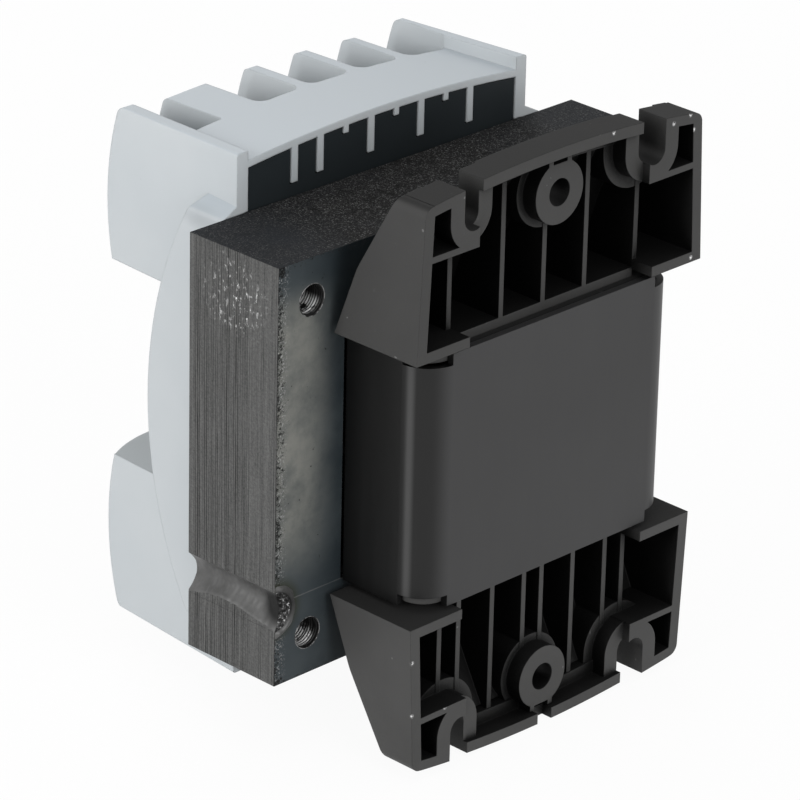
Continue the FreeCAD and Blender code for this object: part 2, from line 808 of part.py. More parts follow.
def clamp(x):
    """Clamp cage: the wire goes down through it, the screw comes in from the front."""
    half = clamp_width / 2
    low = clamp_middle_z - clamp_height / 2
    high = clamp_middle_z + clamp_height / 2
    front = clamp_middle_y - clamp_depth / 2
    back = clamp_middle_y + clamp_depth / 2
    cage = box((x - half, front, low), (x + half, back, high))
    inner_start = (x - half + clamp_wall, front + clamp_front_wall, low - 1)
    cage = cage.cut(box(inner_start, (x + half - clamp_wall, back - clamp_wall, high + 1)))
    shank = V(x, front - 1, clamp_middle_z)
    cage = cage.cut(cylinder(screw_shank_radius, shank, V(0, 1, 0), clamp_front_wall + 2))
    bar_half = bar_width / 2 + slip_fit
    bar_top = bobbin_half_height + carrier_shelf + bar_thickness + slip_fit
    return cage.cut(box((x - bar_half, back - clamp_wall - 1, low - 1), (x + bar_half, back + 1, bar_top)))


def clamp_screw(x):
    """Screw with its head outside the cage."""
    front = clamp_middle_y - clamp_depth / 2
    head_start = V(x, front - screw_head_height, clamp_middle_z)
    head = cylinder(screw_head_radius, head_start, V(0, 1, 0), screw_head_height)
    shank = cylinder(screw_shank_radius, V(x, front, clamp_middle_z), V(0, 1, 0), screw_reach)
    return join([head, shank])


def contact_bar(x, is_earth):
    """Bent strip: upright in the cage, flat on the shelf, then up as a tag or on to the core."""
    half = bar_width / 2
    back_of_cage = clamp_middle_y + clamp_depth / 2 - clamp_wall
    low = bobbin_half_height + carrier_shelf
    high = clamp_middle_z + clamp_height / 2 - 1
    upright = box((x - half, back_of_cage - bar_thickness, low), (x + half, back_of_cage, high))
    end = housing_back - carrier_setback - carrier_plate - 1
    flat = box((x - half, back_of_cage - bar_thickness, low), (x + half, end, low + bar_thickness))
    shapes = [upright, flat]
    tag_half = half if is_earth else half / 2
    shapes.append(box((x - tag_half, end - bar_thickness, low), (x + tag_half, end, low + tag_height)))
    return join(shapes)


def pieces():
    """Every piece of the transformer by its name."""
    parts = {
        "e_lamination_stack": e_laminations(),
        "i_lamination_stack": i_laminations(),
        "weld_seam_left": weld_seam(1),
        "weld_seam_right": weld_seam(-1),
        "coil_bobbin": bobbin(),
        "primary_winding": winding(1),
        "secondary_winding": winding(-1),
        "rear_coil_cover": coil_cover(),
        "upper_mounting_foot": foot(both_sides(upper_rib_x) + [0], False),
        "lower_mounting_foot": mirror_z(foot(both_sides(lower_rib_x), True)),
        "terminal_housing": terminal_housing(),
        "upper_terminal_carrier": terminal_carrier(*row_heights["upper"]),
        "lower_terminal_carrier": mirror_z(terminal_carrier(*row_heights["lower"])),
    }
    for row in ("upper", "lower"):
        for index, x in enumerate(terminal_x):
            shapes = {
                "clamp": clamp(x),
                "clamp_screw": clamp_screw(x),
                "contact_bar": contact_bar(x, row == "upper" and index == 0),
            }
            for kind, shape in shapes.items():
                name = f"{row}_{kind}_{index + 1}"
                parts[name] = shape if row == "upper" else mirror_z(shape)
    return parts


os.makedirs("parts", exist_ok=True)
for name, shape in pieces().items():
    solids = shape.Solids
    if not shape.isValid() or not solids:
        print("CHECK", name, shape.isValid(), len(solids))
    shape = solids[0] if len(solids) == 1 else Part.Compound(solids)
    shape.exportStep(f"parts/{name}.step")
    print(f"{name}: {len(solids)} solid, {shape.Volume:.0f} mm3")
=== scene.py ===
# %% [markdown]
# # A small control transformer, seen from behind
#
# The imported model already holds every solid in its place, in metres: the laminated core, the
# coil with its cover, the two black feet and the pale housing with its terminals. This lesson
# gives those solids their finishes, models the few things that are too fine for the solids,
# such as weld beads and punched edges, and sets up the light and the camera.

# %% Load the frame
import json
import math
import random

import bmesh
import bpy
from mathutils import Matrix, Vector, noise


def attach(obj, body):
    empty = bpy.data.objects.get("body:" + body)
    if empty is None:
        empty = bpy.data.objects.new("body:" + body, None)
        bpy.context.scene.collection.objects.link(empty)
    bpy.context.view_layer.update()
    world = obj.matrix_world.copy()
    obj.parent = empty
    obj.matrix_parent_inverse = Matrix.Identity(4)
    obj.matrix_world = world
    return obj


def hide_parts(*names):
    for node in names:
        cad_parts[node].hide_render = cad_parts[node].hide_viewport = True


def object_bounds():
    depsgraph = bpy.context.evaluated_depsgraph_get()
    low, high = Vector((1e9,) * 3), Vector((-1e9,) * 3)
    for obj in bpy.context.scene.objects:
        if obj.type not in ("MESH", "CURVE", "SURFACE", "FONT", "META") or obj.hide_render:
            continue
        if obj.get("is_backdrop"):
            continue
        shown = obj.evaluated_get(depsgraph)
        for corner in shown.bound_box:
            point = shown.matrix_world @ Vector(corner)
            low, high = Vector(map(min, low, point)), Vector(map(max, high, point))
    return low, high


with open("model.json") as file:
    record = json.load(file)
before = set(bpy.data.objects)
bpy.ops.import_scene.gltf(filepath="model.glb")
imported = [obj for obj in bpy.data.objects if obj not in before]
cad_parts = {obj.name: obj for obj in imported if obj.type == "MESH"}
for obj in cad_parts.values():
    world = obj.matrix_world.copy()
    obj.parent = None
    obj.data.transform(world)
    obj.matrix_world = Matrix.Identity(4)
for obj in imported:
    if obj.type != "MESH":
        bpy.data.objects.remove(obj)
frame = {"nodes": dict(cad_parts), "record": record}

MM = 0.001
nodes = frame["nodes"]
cad_low, cad_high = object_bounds()
scene = bpy.context.scene
scene.view_settings.view_transform = "Standard"
print("solids:", len(nodes))
print("box in mm:", [round((high - low) / MM, 1) for low, high in zip(cad_low, cad_high)])

# %% [markdown]
# ## The camera
#
# The photograph was taken with a long lens from behind, above and to the left of the panel side.
# A camera can be aimed by eye, by a constraint, or by its axes. Its axes are used here, because
# the view was worked out from the corners of the core, whose sheets have a standard size, and
# so the lens, the place and the small roll are all known numbers.

# %% Stand the camera where the photograph was taken
CAMERA_PLACE = Vector((522.75, 480.87, 327.21)) * MM
SENSOR_WIDTH = 36.0


def photo_camera(azimuth, elevation, roll, lens):
    """A camera at the photograph's place; angles in degrees, lens in millimetres."""
    side, height, tilt = (math.radians(angle) for angle in (azimuth, elevation, roll))
    forward = Vector((-math.sin(side) * math.cos(height), math.cos(side) * math.cos(height),
                      -math.sin(height)))
    level_right = forward.cross(Vector((0, 0, 1))).normalized()
    level_up = level_right.cross(forward)
    right = math.cos(tilt) * level_right + math.sin(tilt) * level_up
    up = math.cos(tilt) * level_up - math.sin(tilt) * level_right
    data = bpy.data.cameras.new("photo_camera")
    data.lens, data.sensor_width = lens, SENSOR_WIDTH
    data.clip_start, data.clip_end = 0.05, 30.0
    camera = bpy.data.objects.new("photo_camera", data)
    turned = Matrix((right, up, -forward)).transposed().to_4x4()
    camera.matrix_world = Matrix.Translation(CAMERA_PLACE) @ turned
    scene.collection.objects.link(camera)
    scene.camera = camera
    return camera


camera = photo_camera(azimuth=134.586, elevation=24.3085, roll=1.3131, lens=227.42)
print(camera.name, "stands", round(CAMERA_PLACE.length, 3), "m from the mounting plane's centre")

# %% [markdown]
# ## Sums with sockets
#
# A finish is a small sum: a base colour, plus a little noise, times a mask. Written node by node
# it is long and hard to read. So one class wraps a socket and lets Python's own signs add the
# Math nodes, a second holds a tree and makes every other node, and a third is a material with
# the masks this object needs. Colours go through Mix nodes, because a Math node would turn
# them grey.

# %% A socket that can be added and multiplied
class Signal:
    """A value that changes over a surface."""

    def __init__(self, recipe, socket):
        self.recipe, self.socket = recipe, socket

    def maths(self, operation, first, second=0.0):
        return self.recipe.node("ShaderNodeMath", {"operation": operation}, {0: first, 1: second})

    def __add__(self, other):
        return self.maths("ADD", self, other)

    def __radd__(self, other):
        return self.maths("ADD", other, self)

    def __sub__(self, other):
        return self.maths("SUBTRACT", self, other)

    def __rsub__(self, other):
        return self.maths("SUBTRACT", other, self)

    def __mul__(self, other):
        return self.maths("MULTIPLY", self, other)

    def __rmul__(self, other):
        return self.maths("MULTIPLY", other, self)

    def __truediv__(self, other):
        return self.maths("DIVIDE", self, other)

    def __abs__(self):
        return self.maths("ABSOLUTE", self)

    def ramp(self, start, end):
        """0 at start, 1 at end, smooth between and level beyond them."""
        settings = {"interpolation_type": "SMOOTHSTEP"}
        sockets = {"Value": self, "From Min": start, "From Max": end, "To Min": 0.0, "To Max": 1.0}
        return self.recipe.node("ShaderNodeMapRange", settings, sockets)


print("a signal knows + - * / abs and ramp")


# %% A tree that makes its own nodes
class Recipe:
    """The nodes of a material or of the world."""

    def __init__(self, tree):
        self.tree = tree

    def node(self, kind, settings=None, sockets=None, out=0):
        """Any node: its type, its settings, the values or links of its sockets, its output."""
        made = self.tree.nodes.new(kind)
        for name, value in (settings or {}).items():
            setattr(made, name, value)
        for name, value in (sockets or {}).items():
            self.feed(made.inputs[name], value)
        return Signal(self, made.outputs[out])

    def feed(self, socket, value):
        if isinstance(value, Signal):
            self.tree.links.new(value.socket, socket)
        else:
            socket.default_value = value

    def seen(self):
        """1 for what the camera or a reflection sees, 0 for plain bounced light."""
        direct, glossy, clear = (self.node("ShaderNodeLightPath", out=f"Is {kind} Ray")
                                 for kind in ("Camera", "Glossy", "Transmission"))
        return direct.maths("MAXIMUM", direct.maths("MAXIMUM", direct, glossy), clear)


print("a recipe makes nodes and tells seen light from bounced light")


# %% A material on one Principled shader
class Finish(Recipe):
    """A procedural material, with masks that are placed on the object in millimetres."""

    def __init__(self, name):
        self.material = bpy.data.materials.new(name)
        self.material.use_nodes = True
        super().__init__(self.material.node_tree)
        self.shader = self.tree.nodes["Principled BSDF"]
        self.coords = self.node("ShaderNodeTexCoord", out="Object")

    def set(self, **values):
        for name, value in values.items():
            self.feed(self.shader.inputs[name.replace("_", " ")], value)
        return self

    def mix(self, factor, first, second):
        """A colour between two colours."""
        sockets = {0: factor, 6: first, 7: second}
        return self.node("ShaderNodeMix", {"data_type": "RGBA"}, sockets, out=2)

    def vector(self, operation, first, second=(0.0, 0.0, 0.0), out="Vector"):
        settings = {"operation": operation}
        return self.node("ShaderNodeVectorMath", settings, {0: first, 1: second}, out)

    def noise(self, scale, detail, rough=0.55, coords=None):
        sockets = {"Vector": coords or self.coords, "Scale": scale, "Detail": detail,
                   "Roughness": rough}
        return self.node("ShaderNodeTexNoise", None, sockets)

    def drawn_noise(self, scales, detail, rough):
        """Noise with a scale of its own on x, y and z, so that it can be drawn out to streaks."""
        return self.noise(1.0, detail, rough, self.vector("MULTIPLY", self.coords, scales))

    def along(self, axis):
        """The place along an axis, in metres."""
        return self.node("ShaderNodeSeparateXYZ", None, {0: self.coords}, out=axis)

    def past(self, axis, start, end):
        """0 at one place along an axis, 1 at another."""
        return self.along(axis).ramp(start * MM, end * MM)

    def facing(self, axis):
        """How far a face looks along an axis, from -1 to 1."""
        normal = self.node("ShaderNodeNewGeometry", out="Normal")
        return self.node("ShaderNodeSeparateXYZ", None, {0: normal}, out=axis)

    def near(self, place, radius):
        """1 at a place, falling to 0 at the radius."""
        centre = tuple(c * MM for c in place)
        away = self.vector("DISTANCE", self.coords, centre, out="Value")
        return 1.0 - away.ramp(0.0, radius * MM)

    def inside(self, centre, radii, soft):
        """1 within an oval, falling to 0 over its soft outer share."""
        shifted = self.vector("SUBTRACT", self.coords, tuple(c * MM for c in centre))
        scaled = self.vector("MULTIPLY", shifted, tuple(1.0 / (r * MM) for r in radii))
        return 1.0 - self.vector("LENGTH", scaled, out="Value").ramp(1.0 - soft, 1.0)

    def open_air(self, reach, alone=False):
        """1 on an open face, falling towards 0 in a corner; alone counts only its own piece."""
        settings = {"samples": 6, "only_local": alone}
        return self.node("ShaderNodeAmbientOcclusion", settings, {"Distance": reach * MM}, "AO")

    def relief(self, height, depth, edge=0.0):
        """Bumps of a real depth, over edges softened by a real radius."""
        sockets = {"Height": height, "Distance": depth * MM, "Strength": 1.0}
        if edge:
            sockets["Normal"] = self.node("ShaderNodeBevel", {"samples": 6}, {"Radius": edge * MM})
        return self.set(Normal=self.node("ShaderNodeBump", None, sockets))


def grey(level, tint=(1.0, 1.0, 1.0)):
    return (level * tint[0], level * tint[1], level * tint[2], 1.0)


print("a finish sets a shader from masks, noise and colours")

# %% [markdown]
# ## Light and backdrop
#
# Product photographs of this kind are lit by large soft boxes over a white table. Big area lamps
# and a pale world give the same even light. What the camera and the reflections see of the world
# is plain white, while the light that falls on the object is only about half of that. The Light
# Path node tells the two apart, so no stronger lamp is needed that would burn out the housing.

# %% A white world
SKY_LIGHT = 0.48

world = bpy.data.worlds.new("studio")
scene.world = world
world.use_nodes = True
sky = Recipe(world.node_tree)
backdrop = world.node_tree.nodes["Background"]
sky.feed(backdrop.inputs["Color"], grey(1.0))
sky.feed(backdrop.inputs["Strength"], SKY_LIGHT + (1.0 - SKY_LIGHT) * sky.seen())
print("world:", world.name)


# %% Soft boxes
def soft_box(name, place, size, power):
    """A round area lamp that looks at the object; metres and watts."""
    data = bpy.data.lights.new(name, "AREA")
    data.shape, data.size, data.energy = "DISK", size, power
    lamp = bpy.data.objects.new(name, data)
    lamp.location = place
    lamp.rotation_euler = (-Vector(place)).to_track_quat("-Z", "Y").to_euler()
    scene.collection.objects.link(lamp)
    return lamp


lamps = [
    soft_box("left_box", (1.35, -0.10, 0.50), size=0.8, power=9.5),
    soft_box("top_box", (0.25, 0.25, 1.40), size=0.9, power=3.0),
    soft_box("back_box", (0.20, 1.35, 0.45), size=0.9, power=10.5),
    soft_box("front_box", (-0.60, -1.20, 0.70), size=0.9, power=5.0),
    soft_box("edge_strip", (1.20, -0.32, 0.06), size=0.10, power=0.9),
]
print("lamps:", [lamp.name for lamp in lamps])

# %% [markdown]
# ## The pale housing
#
# The housing is one moulding of light grey plastic with a slight blue cast and a matt skin.
# Real mouldings are never quite even: they cool with faint clouds, and handling leaves a few
# dull specks. So the colour drifts a little, the skin has a fine relief, and the edges are
# softened by a Bevel node, because a moulding has no sharp edge. The roof, the sill of the lower
# block and a small ledge get painted shade, a deeper grey in their colour, because the soft
# lamps shade them less than the real light did.

# %% Matt grey plastic
DULL_GREY, PALE_GREY = (0.450, 0.482, 0.502, 1), (0.480, 0.508, 0.525, 1)
ROOF_PAINTED_SHADE, SILL_PAINTED_SHADE = (0.372, 0.418, 0.458, 1), (0.215, 0.240, 0.250, 1)
LEDGE_PAINTED_SHADE, SPECK_GREY = (0.25, 0.27, 0.29, 1), (0.25, 0.26, 0.27, 1)


def housing_finish():
    finish = Finish("grey_moulding")
    cloud = finish.noise(38.0, 3.0)
    fine = finish.noise(5200.0, 2.0)
    specks = finish.noise(900.0, 1.0).ramp(0.82, 0.86)
    up = finish.facing("Z").ramp(0.5, 0.9)
    # Painted shade: the upward faces of the roof and of the lower block's sill, and a small ledge,
    # are mixed towards deeper greys.
    painted_roof_shade = up * finish.past("Z", 30, 36)
    painted_sill_shade = up * (1.0 - finish.past("Z", -12, -6))
    painted_ledge_shade = finish.inside((34.0, -44.0, 33.5), (2.6, 6.5, 2.6), 0.9)
    colour = finish.mix(cloud.ramp(0.3, 0.7), DULL_GREY, PALE_GREY)
    colour = finish.mix(painted_roof_shade * 0.6, colour, ROOF_PAINTED_SHADE)
    colour = finish.mix(painted_sill_shade * 0.6, colour, SILL_PAINTED_SHADE)
    colour = finish.mix(painted_ledge_shade * 0.55, colour, LEDGE_PAINTED_SHADE)
    colour = finish.mix(specks * 0.35, colour, SPECK_GREY)
    colour = finish.mix(finish.near((19.5, -43.1, 44.5), 0.45), colour, grey(0.9))
    finish.set(Base_Color=colour, Roughness=0.50 + 0.10 * cloud)
    return finish.relief(fine, depth=0.01, edge=0.4)


housing = housing_finish()
print("made", housing.material.name)

# %% [markdown]
# ## Black mouldings
#
# The feet, the bobbin and the carriers are black plastic, filled with glass fibre, so their skin
# is satin with a fine grain. Pale marks show where a tool or a thumb has rubbed them. Black
# plastic looks darkest where little light gets in, so an Ambient Occlusion node paints shade into
# the pockets between the ribs, and a little less into the open slots. Faces that look up, and
# higher parts, get painted shade too. The coil's cover is softer, smoother and a little greyer,
# with painted shade on its sides and in its corners, and a painted highlight along its bend.

# %% Satin black plastic
SCUFFS = [(-23.8, 0.0, 46.6), (-27.6, 0.0, 47.1), (-28.5, 0.0, 44.4), (-28.8, 0.0, 26.6),
          (-29.2, 0.0, 22.8), (-10.8, -0.6, 48.3), (30.9, 0.0, -27.7), (30.7, 0.0, -36.9),
          (23.4, 0.0, -37.9), (19.8, 0.0, -36.0)]
SLOT_PLACES = [(x, -5.0, z) for x in (-19.83, 19.83) for z in (-46.0, 46.0)]
SLOT_REACH = (3.4, 12.0, 9.0)
PAINTED_POCKET_SHADE = grey(0.001)


def slot_mask(finish):
    """1 in the four screw slots of the feet."""
    first, second, third, fourth = (finish.inside(place, SLOT_REACH, 0.25) for place in SLOT_PLACES)
    return first + second + third + fourth


def black_finish(name, level, tint, rough, grain, wear, scuffs=()):
    finish = Finish(name)
    cloud = finish.noise(60.0, 4.0)
    fine = finish.noise(3200.0, 3.0)
    rubbed = finish.noise(700.0, 5.0, 0.7).ramp(0.62, 0.74) * cloud.ramp(0.45, 0.65)
    dust = finish.noise(1100.0, 0.0).ramp(0.86, 0.88)
    up = finish.facing("Z").ramp(0.55, 0.95)
    colour = finish.mix(cloud, grey(level * 0.75, tint), grey(level * 1.25, tint))
    # Painted shade: the colour darkens towards the top, so the upper foot is darker than the lower
    # one.
    colour = finish.mix(finish.past("Z", -30, 30) * 0.32, colour, grey(level * 0.4, tint))
    colour = finish.mix(rubbed * wear, colour, grey(0.12))
    colour = finish.mix(dust * wear, colour, grey(0.4))
    for scuff in scuffs:
        colour = finish.mix(finish.near(scuff, 0.5) * fine.ramp(0.4, 0.55), colour, grey(0.75))
    # Painted shade: faces that look up are mixed far darker.
    colour = finish.mix(up * 0.8, colour, grey(level * 0.15))
    # Painted shade: where the Ambient Occlusion node finds little open air, the colour is mixed
    # towards near black.
    air = finish.open_air(18.0, alone=True)
    in_slot = slot_mask(finish)
    light = air.ramp(0.60, 0.94) * (1.0 - in_slot) + air.ramp(0.30, 0.92) * in_slot
    rough = rough + 0.10 * cloud + 0.12 * rubbed + 0.25 * up
    finish.set(Base_Color=finish.mix(light, PAINTED_POCKET_SHADE, colour), Roughness=rough)
    finish.set(Specular_IOR_Level=0.14)
    return finish.relief(fine, grain, edge=0.25)


black = black_finish("black_moulding", level=0.055, tint=(1.0, 0.995, 0.98), rough=0.46,
                     grain=0.02, wear=0.22, scuffs=SCUFFS)
carrier = black_finish("black_carrier", level=0.026, tint=(0.80, 1.0, 1.12), rough=0.40,
                       grain=0.01, wear=0.10)
print("made", black.material.name, "and", carrier.material.name)


# %% The cover's smoother plastic
COVER_TINT = (1.0, 1.0, 1.02)


def cover_finish():
    """A smooth skin, with painted shade on faces that turn towards the sides and in the corners,
    and a painted highlight along its bend.
    """
    finish = Finish("cover_moulding")
    cloud = finish.noise(26.0, 3.0)
    fine = finish.noise(3000.0, 2.0)
    smear = finish.drawn_noise((500.0, 500.0, 60.0), 3.0, 0.6)
    turn = abs(finish.facing("X"))
    painted_highlight_band = turn.ramp(0.88, 0.955) * (1.0 - turn.ramp(0.965, 0.999))
    air = finish.open_air(6.0).ramp(0.45, 0.80)
    colour = finish.mix(cloud, grey(0.023, COVER_TINT), grey(0.035, COVER_TINT))
    # Painted shade: faces turned towards the sides are mixed darker, and the sides themselves
    # darker still.
    colour = finish.mix(turn.ramp(0.05, 0.60), colour, grey(0.006))
    colour = finish.mix(turn.ramp(0.90, 1.00) * 0.8, colour, grey(0.003))
    # Painted highlight: a paler band where the rounded corner turns into the side.
    colour = finish.mix(painted_highlight_band * (0.75 + 0.25 * smear), colour, grey(0.050))
    # Painted shade: corners where the Ambient Occlusion node finds little open air are mixed
    # towards near black.
    finish.set(Base_Color=finish.mix(air, PAINTED_POCKET_SHADE, colour), Roughness=0.34 + 0.14 * smear)
    finish.set(Specular_IOR_Level=0.28)
    return finish.relief(fine, depth=0.006, edge=0.15)


cover = cover_finish()
print("made", cover.material.name)

# %% [markdown]
# ## The laminated core
#
# The core is a stack of steel sheets, half a millimetre thick. Its sides show the cut edges of
# the sheets as fine upright lines, its top shows the same edges from another cut, dark and
# grainy, and its back is the flat face of the last sheet, blued by annealing. All three are one
# material, because they are one solid: the direction that a face looks picks the finish. The
# lines come from counting the sheets along the stack, so there are as many as real sheets.

# %% Count the sheets
SHEET = 0.5
SECOND_TONE = 37.5  # added to a sheet's number, it gives the sheet another value of its own


def sheet_count(finish, wobble):
    """The place in the stack, counted in sheets, and the number of the sheet there."""
    place = finish.along("Y") / (SHEET * MM) + wobble
    return place, place.maths("FLOOR", place)


def off_middle(place, number):
    """0 in the middle of a sheet's thickness, 1 where it meets the next one."""
    return abs((place - number) * 2.0 - 1.0)


def sheet_gap(place, number):
    return off_middle(place, number).ramp(0.30, 0.95)


def sheet_tone(finish, number):
    """A value of its own for each sheet, from 0 to 1."""
    return finish.node("ShaderNodeTexWhiteNoise", {"noise_dimensions": "1D"}, {"W": number})


print("sheets:", SHEET, "mm thick")


# %% Cut edges, upright on the sides
def speck_patch(finish, colour):
    """Pale specks in a patch near the top of the left side."""
    patch = finish.inside((42.0, -28.3, 27.6), (4.0, 9.0, 8.4), 0.85)
    blots = finish.drawn_noise((1380.0, 1380.0, 900.0), 2.0, 0.65)
    sparks = finish.drawn_noise((3200.0, 3200.0, 1700.0), 2.0, 0.7)
    colour = finish.mix(patch.ramp(0.0, 0.5) * blots.ramp(0.54, 0.70) * 0.6, colour, grey(0.40))
    return finish.mix(patch * blots.ramp(0.56, 0.64) * sparks.ramp(0.56, 0.66), colour, grey(0.90))


def side_edges(finish):
    """Colour and height of the sides: streaks in many greys, with thin dark gaps."""
    wobble = finish.drawn_noise((28.0, 28.0, 28.0), 2.0, 0.5) * 1.6
    place, number = sheet_count(finish, wobble)
    streak = finish.drawn_noise((90.0, 2600.0, 90.0), 3.0, 0.75)
    grain = finish.noise(2600.0, 3.0, 0.8)
    light = (sheet_tone(finish, number) * 0.20 + streak.ramp(0.30, 0.70) * 0.36
             + grain.ramp(0.3, 0.7) * 0.44)
    strength = sheet_tone(finish, number + SECOND_TONE).ramp(0.35, 0.95)
    dark = sheet_gap(place, number) * strength * streak.ramp(0.80, 0.42)
    colour = finish.mix(light, grey(0.030, (0.98, 1.0, 0.99)), grey(0.132, (1.0, 1.0, 0.98)))
    colour = finish.mix(dark, colour, grey(0.002))
    return speck_patch(finish, colour), light - dark


print("side edges ready")


# %% The same edges on top, dark and grainy
WORN_STEEL = (0.011, 0.013, 0.016, 1)


def top_grain(finish):
    """Colour and height of the top: dark grains with a few painted glints, calmer where it is worn.
    """
    wobble = finish.drawn_noise((60.0, 60.0, 60.0), 1.0, 0.5) * 2.0
    gap = sheet_gap(*sheet_count(finish, wobble))
    dash = finish.noise(3300.0, 3.0, 0.8)
    glint = finish.noise(4100.0, 2.0, 0.7)
    clump = finish.noise(420.0, 3.0, 0.6).ramp(0.30, 0.52)
    smooth = finish.noise(60.0, 4.0).ramp(0.46, 0.60)
    worn = abs(finish.along("X")).ramp(24 * MM, 34 * MM)
    calm = (smooth * 0.28 + worn * 0.72) * 0.95
    rough = dash.ramp(0.40, 0.60) * (1.0 - gap * 0.6) * clump
    # Painted glints: small bright specks mixed into the colour.
    painted_glint = glint.ramp(0.55, 0.63) * (1.0 - gap * 0.6) * (0.4 + 0.6 * clump)
    colour = finish.mix(rough, grey(0.0008), grey(0.026))
    colour = finish.mix(calm, colour, WORN_STEEL)
    colour = finish.mix(painted_glint * (1.0 - calm * 0.9) * 0.85, colour, grey(0.24))
    return colour, (rough + painted_glint * 0.6) * (1.0 - calm * 0.7)


print("top grain ready")


# %% The blued sheet on the back
DARK_BLUING, PALE_BLUING = (0.016, 0.022, 0.026, 1), (0.036, 0.044, 0.048, 1)
LIT_BLUING, OLIVE_BLUING = (0.070, 0.082, 0.088, 1), (0.205, 0.205, 0.186, 1)
SCORCHED = (0.030, 0.032, 0.020, 1)
SEAM_Z = -21.0


def sheet_damage(finish, colour, x, z):
    """Flakes and pits towards the sheet's border, and scratches; also the mask of the pits."""
    ragged = finish.noise(2300.0, 4.0, 0.8)
    border = x.ramp(39.0 * MM, 42.3 * MM) * 0.20 + abs(z).ramp(33.0 * MM, 35.3 * MM) * 0.14
    spots = finish.noise(1300.0, 2.0, 0.6).ramp(0.72, 0.76)
    pits = ((ragged + border).ramp(0.66, 0.72) + spots * 0.8).ramp(0.0, 1.0)
    flakes = finish.noise(2900.0, 2.0, 0.7).ramp(0.54, 0.64) * x.ramp(39.2 * MM, 41.6 * MM)
    scratch = finish.drawn_noise((900.0, 900.0, 220.0), 2.0, 0.5).ramp(0.73, 0.77)
    colour = finish.mix(flakes * 0.6, colour, grey(0.42))
    colour = finish.mix(pits * 0.95, colour, grey(0.006))
    return finish.mix(scratch * 0.7, colour, grey(0.012)), pits


def blued_sheet(finish):
    """Colour and height of the back: blue-black, olive towards the sides, with a fine seam."""
    x, z = abs(finish.along("X")), finish.along("Z")
    cloud = finish.noise(70.0, 4.0, 0.6)
    blotch = finish.noise(150.0, 5.0, 0.65).ramp(0.25, 0.70)
    olive = x.ramp(28.5 * MM, 38.5 * MM) * z.ramp(-21 * MM, -5 * MM)
    olive = olive * (1.0 - z.ramp(24 * MM, 32.5 * MM)) * (0.35 + 0.65 * blotch)
    colour = finish.mix(cloud.ramp(0.35, 0.7), DARK_BLUING, PALE_BLUING)
    colour = finish.mix(x.ramp(26 * MM, 40 * MM) * 0.45, colour, LIT_BLUING)
    colour = finish.mix(olive * 0.9, colour, OLIVE_BLUING)
    colour, pits = sheet_damage(finish, colour, x, z)
    halo = finish.inside((41.6, -18.9, -22.0), (5.8, 1.5, 6.2), 0.40)
    colour = finish.mix(halo * cloud.ramp(0.2, 0.6) * 0.8, colour, SCORCHED)
    seam = 1.0 - abs(z - SEAM_Z * MM).ramp(0.04 * MM, 0.16 * MM)
    colour = finish.mix(seam * blotch * 0.45, colour, grey(0.15))
    return colour, 0.5 - pits * 0.5


print("blued sheet ready")


# %% Three faces in one material
def core_finish():
    finish = Finish("core_sheets")
    back = abs(finish.facing("Y")).ramp(0.5, 0.6)
    top = abs(finish.facing("Z")).ramp(0.5, 0.6)
    side_colour, side_height = side_edges(finish)
    top_colour, top_height = top_grain(finish)
    back_colour, back_height = blued_sheet(finish)
    colour = finish.mix(back, finish.mix(top, side_colour, top_colour), back_colour)
    height = (side_height * (1.0 - back) * (1.0 - top) + top_height * top * 1.6
              + back_height * back * 0.7)
    finish.set(Base_Color=colour, Roughness=0.42 + 0.33 * top + 0.10 * (1.0 - back))
    finish.set(Metallic=0.1, Specular_IOR_Level=0.18)
    return finish.relief(height, depth=0.09, edge=0.1)


core = core_finish()
print("made", core.material.name)

# %% [markdown]
# ## Metals
#
# The weld is melted steel that was never ground, darker towards where the torch stopped. The
# clamps and screws are zinc plated, the contact bars tinned brass, and the windings enamelled
# copper, laid turn on turn, with painted shade between the turns. Metals differ more in their
# gloss than in their colour, so most of the detail here is roughness and relief.

# %% The weld and its crater
def weld_finish():
    finish = Finish("weld_bead")
    cloud = finish.noise(260.0, 4.0, 0.6)
    ripple = finish.drawn_noise((260.0, 900.0, 260.0), 2.0, 0.6)
    # The bead is darker, rougher and less metallic near its end at the crater.
    dark_weld_end = finish.inside((41.2, -19.4, -21.6), (5.0, 4.8, 4.2), 0.6)
    dark, pale = grey(0.080, (1.0, 1.0, 0.99)), grey(0.122, (1.0, 1.0, 0.99))
    colour = finish.mix(dark_weld_end, finish.mix(cloud.ramp(0.3, 0.7), dark, pale), grey(0.010))
    finish.set(Base_Color=colour, Roughness=0.36 + 0.2 * cloud + 0.3 * dark_weld_end)
    finish.set(Metallic=0.35 * (1.0 - dark_weld_end), Specular_IOR_Level=0.2)
    return finish.relief(cloud * 0.5 + ripple * 0.3, depth=0.08)


def crater_finish():
    """Black crust with bright beads of metal in it, darkest in the pit."""
    finish = Finish("weld_crater")
    crust = finish.noise(1600.0, 4.0, 0.7)
    drops = finish.noise(1200.0, 1.0)
    pit = finish.inside((40.9, -19.6, -21.9), (1.5, 3.0, 1.7), 0.6)
    colour = finish.mix(crust.ramp(0.42, 0.60), grey(0.006), grey(0.09))
    colour = finish.mix(crust.ramp(0.56, 0.66) * drops.ramp(0.42, 0.58), colour, grey(0.80))
    colour = finish.mix(pit * 0.85, colour, grey(0.004))
    finish.set(Base_Color=colour, Roughness=0.25 + 0.3 * drops, Metallic=0.5)
    return finish.relief(crust, depth=0.25)


weld = weld_finish()
crater = crater_finish()
print("made", weld.material.name, "and", crater.material.name)


